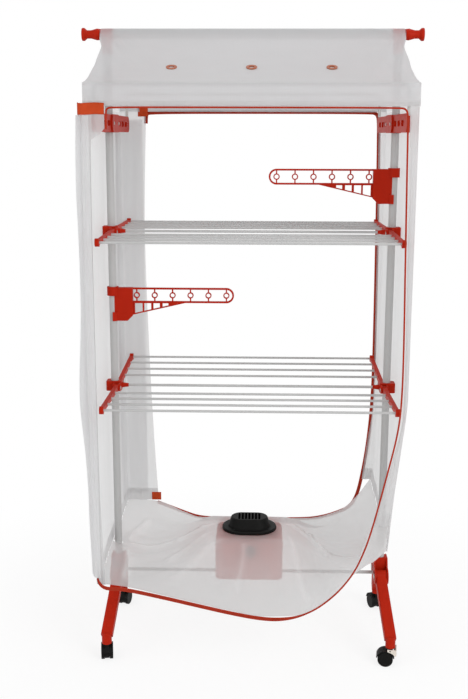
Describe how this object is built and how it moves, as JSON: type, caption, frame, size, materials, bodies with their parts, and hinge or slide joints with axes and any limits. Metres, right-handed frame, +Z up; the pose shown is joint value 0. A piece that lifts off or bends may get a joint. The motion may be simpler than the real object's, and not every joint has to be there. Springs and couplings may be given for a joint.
{
  "type": "electric clothes drying rack",
  "caption": "Folding two-level clothes drying rack on castored legs, with swivelling hanger arms, a fan heater at the base and a zipped translucent cover.",
  "frame": {"origin": "on the floor, below the middle of the rack", "axes": "+Z up, +X to the right seen from the front doorway, +Y to the back"},
  "size_m": [0.84, 0.606, 1.6165],
  "materials": {
    "white_tube": "satin white powder coat",
    "white_rod": "satin white powder coat",
    "red_plastic": "moulded polypropylene, fine grain",
    "black_plastic": "moulded, satin",
    "pale_plastic": "moulded, satin",
    "steel": "zinc plated",
    "aluminium_fins": "bare",
    "fan_plastic": "moulded, satin",
    "cover_cloth": "translucent woven sheet",
    "red_trim": "woven binding tape"
  },
  "bodies": {
    "frame": {"post_left": "white_tube", "post_right": "white_tube", "top_bar": "white_tube", "bar_tees": "red_plastic", "bar_caps": "red_plastic", "shelf_hubs_lower": "red_plastic", "shelf_hubs_upper": "red_plastic", "canopy_hubs": "red_plastic", "canopy_arms": "red_plastic", "roof_bows": "steel", "arm_pins": "steel", "centre_rods": "white_rod", "leg_hubs": "red_plastic", "leg_pins": "steel", "crossbar": "white_rod", "heater_cradle": "black_plastic", "heater_base": "red_plastic", "heater_cover": "red_plastic", "heater_screws": "steel", "outlet_collar": "black_plastic", "outlet_grille": "black_plastic", "heating_element": "aluminium_fins", "fan_motor": "steel", "thermal_cutout": "steel", "timer_mechanism": "pale_plastic", "mains_gland": "black_plastic", "cover_roof": "cover_cloth", "cover_side_left": "cover_cloth", "cover_side_right": "cover_cloth", "cover_floor": "cover_cloth", "door_front_bundle": "cover_cloth", "door_rear_bundle": "cover_cloth", "vent_eyelets": "red_plastic", "cover_piping": "red_trim", "cover_tabs": "red_trim"},
    "lower_front_wing": {"lower_front_arms": "red_plastic", "lower_front_rods": "white_rod"},
    "lower_rear_wing": {"lower_rear_arms": "red_plastic", "lower_rear_rods": "white_rod"},
    "upper_front_wing": {"upper_front_arms": "red_plastic", "upper_front_rods": "white_rod"},
    "upper_rear_wing": {"upper_rear_arms": "red_plastic", "upper_rear_rods": "white_rod"},
    "hanger_left": {"hanger_arm_left": "red_plastic"},
    "hanger_right": {"hanger_arm_right": "red_plastic"},
    "front_left_leg": {"leg_front_left": "red_plastic"},
    "front_left_castor": {"castor_hood_front_left": "black_plastic"},
    "front_left_wheels": {"castor_wheels_front_left": "black_plastic"},
    "front_right_leg": {"leg_front_right": "red_plastic"},
    "front_right_castor": {"castor_hood_front_right": "black_plastic"},
    "front_right_wheels": {"castor_wheels_front_right": "black_plastic"},
    "brake_pedal": {"castor_brake": "pale_plastic"},
    "rear_left_leg": {"leg_rear_left": "red_plastic"},
    "rear_left_castor": {"castor_hood_rear_left": "black_plastic"},
    "rear_left_wheels": {"castor_wheels_rear_left": "black_plastic"},
    "rear_right_leg": {"leg_rear_right": "red_plastic"},
    "rear_right_castor": {"castor_hood_rear_right": "black_plastic"},
    "rear_right_wheels": {"castor_wheels_rear_right": "black_plastic"},
    "fan": {"fan_rotor": "fan_plastic"},
    "timer_dial": {"timer_knob": "black_plastic"}
  },
  "joints": [
    {"name": "lower_front_fold", "type": "hinge", "parent": "frame", "child": "lower_front_wing", "pos_m": [0, -0.03, 0.711], "axis": [1, 0, 0], "range_deg": [-85, 0]},
    {"name": "lower_rear_fold", "type": "hinge", "parent": "frame", "child": "lower_rear_wing", "pos_m": [0, 0.03, 0.711], "axis": [1, 0, 0], "range_deg": [0, 85]},
    {"name": "upper_front_fold", "type": "hinge", "parent": "frame", "child": "upper_front_wing", "pos_m": [0, -0.03, 1.118], "axis": [1, 0, 0], "range_deg": [-60, 0]},
    {"name": "upper_rear_fold", "type": "hinge", "parent": "frame", "child": "upper_rear_wing", "pos_m": [0, 0.03, 1.118], "axis": [1, 0, 0], "range_deg": [0, 60]},
    {"name": "hanger_left_swing", "type": "hinge", "parent": "frame", "child": "hanger_left", "pos_m": [-0.3585, 0, 0.9295], "axis": [0, 0, -1], "range_deg": [-60, 60]},
    {"name": "hanger_right_swing", "type": "hinge", "parent": "frame", "child": "hanger_right", "pos_m": [0.3585, 0, 1.2345], "axis": [0, 0, 1], "range_deg": [-60, 60]},
    {"name": "front_left_leg_fold", "type": "hinge", "parent": "frame", "child": "front_left_leg", "pos_m": [-0.3585, -0.031, 0.19], "axis": [1, 0, 0], "range_deg": [0, 38]},
    {"name": "front_left_swivel", "type": "hinge", "parent": "front_left_leg", "child": "front_left_castor", "pos_m": [-0.372, -0.16, 0.06], "axis": [0, 0, 1], "continuous": true},
    {"name": "front_left_roll", "type": "hinge", "parent": "front_left_castor", "child": "front_left_wheels", "pos_m": [-0.37367, -0.14812, 0.02], "axis": [0.9903, 0.1392, 0], "continuous": true},
    {"name": "front_right_leg_fold", "type": "hinge", "parent": "frame", "child": "front_right_leg", "pos_m": [0.3585, -0.031, 0.19], "axis": [1, 0, 0], "range_deg": [0, 38]},
    {"name": "front_right_swivel", "type": "hinge", "parent": "front_right_leg", "child": "front_right_castor", "pos_m": [0.372, -0.16, 0.06], "axis": [0, 0, 1], "continuous": true},
    {"name": "front_right_roll", "type": "hinge", "parent": "front_right_castor", "child": "front_right_wheels", "pos_m": [0.36012, -0.15833, 0.02], "axis": [0.1392, 0.9903, 0], "continuous": true},
    {"name": "brake_press", "type": "hinge", "parent": "front_right_castor", "child": "brake_pedal", "pos_m": [0.372, -0.16, 0.046], "axis": [0.1392, 0.9903, 0], "range_deg": [0, 10], "stiffness_Nm_per_rad": 0.02},
    {"name": "rear_left_leg_fold", "type": "hinge", "parent": "frame", "child": "rear_left_leg", "pos_m": [-0.3585, 0.031, 0.19], "axis": [1, 0, 0], "range_deg": [-38, 0]},
    {"name": "rear_left_swivel", "type": "hinge", "parent": "rear_left_leg", "child": "rear_left_castor", "pos_m": [-0.372, 0.16, 0.06], "axis": [0, 0, 1], "continuous": true},
    {"name": "rear_left_roll", "type": "hinge", "parent": "rear_left_castor", "child": "rear_left_wheels", "pos_m": [-0.36889, 0.17159, 0.02], "axis": [0.9659, -0.2588, 0], "continuous": true},
    {"name": "rear_right_leg_fold", "type": "hinge", "parent": "frame", "child": "rear_right_leg", "pos_m": [0.3585, 0.031, 0.19], "axis": [1, 0, 0], "range_deg": [-38, 0]},
    {"name": "rear_right_swivel", "type": "hinge", "parent": "rear_right_leg", "child": "rear_right_castor", "pos_m": [0.372, 0.16, 0.06], "axis": [0, 0, 1], "continuous": true},
    {"name": "rear_right_roll", "type": "hinge", "parent": "rear_right_castor", "child": "rear_right_wheels", "pos_m": [0.3679, 0.17128, 0.02], "axis": [0.9397, 0.342, 0], "continuous": true},
    {"name": "fan_spin", "type": "hinge", "parent": "frame", "child": "fan", "pos_m": [0, 0, 0.236], "axis": [0, 0, 1], "continuous": true},
    {"name": "timer_turn", "type": "hinge", "parent": "frame", "child": "timer_dial", "pos_m": [0.005, -0.085, 0.277], "axis": [0, 1, 0], "range_deg": [0, 300]}
  ]
}
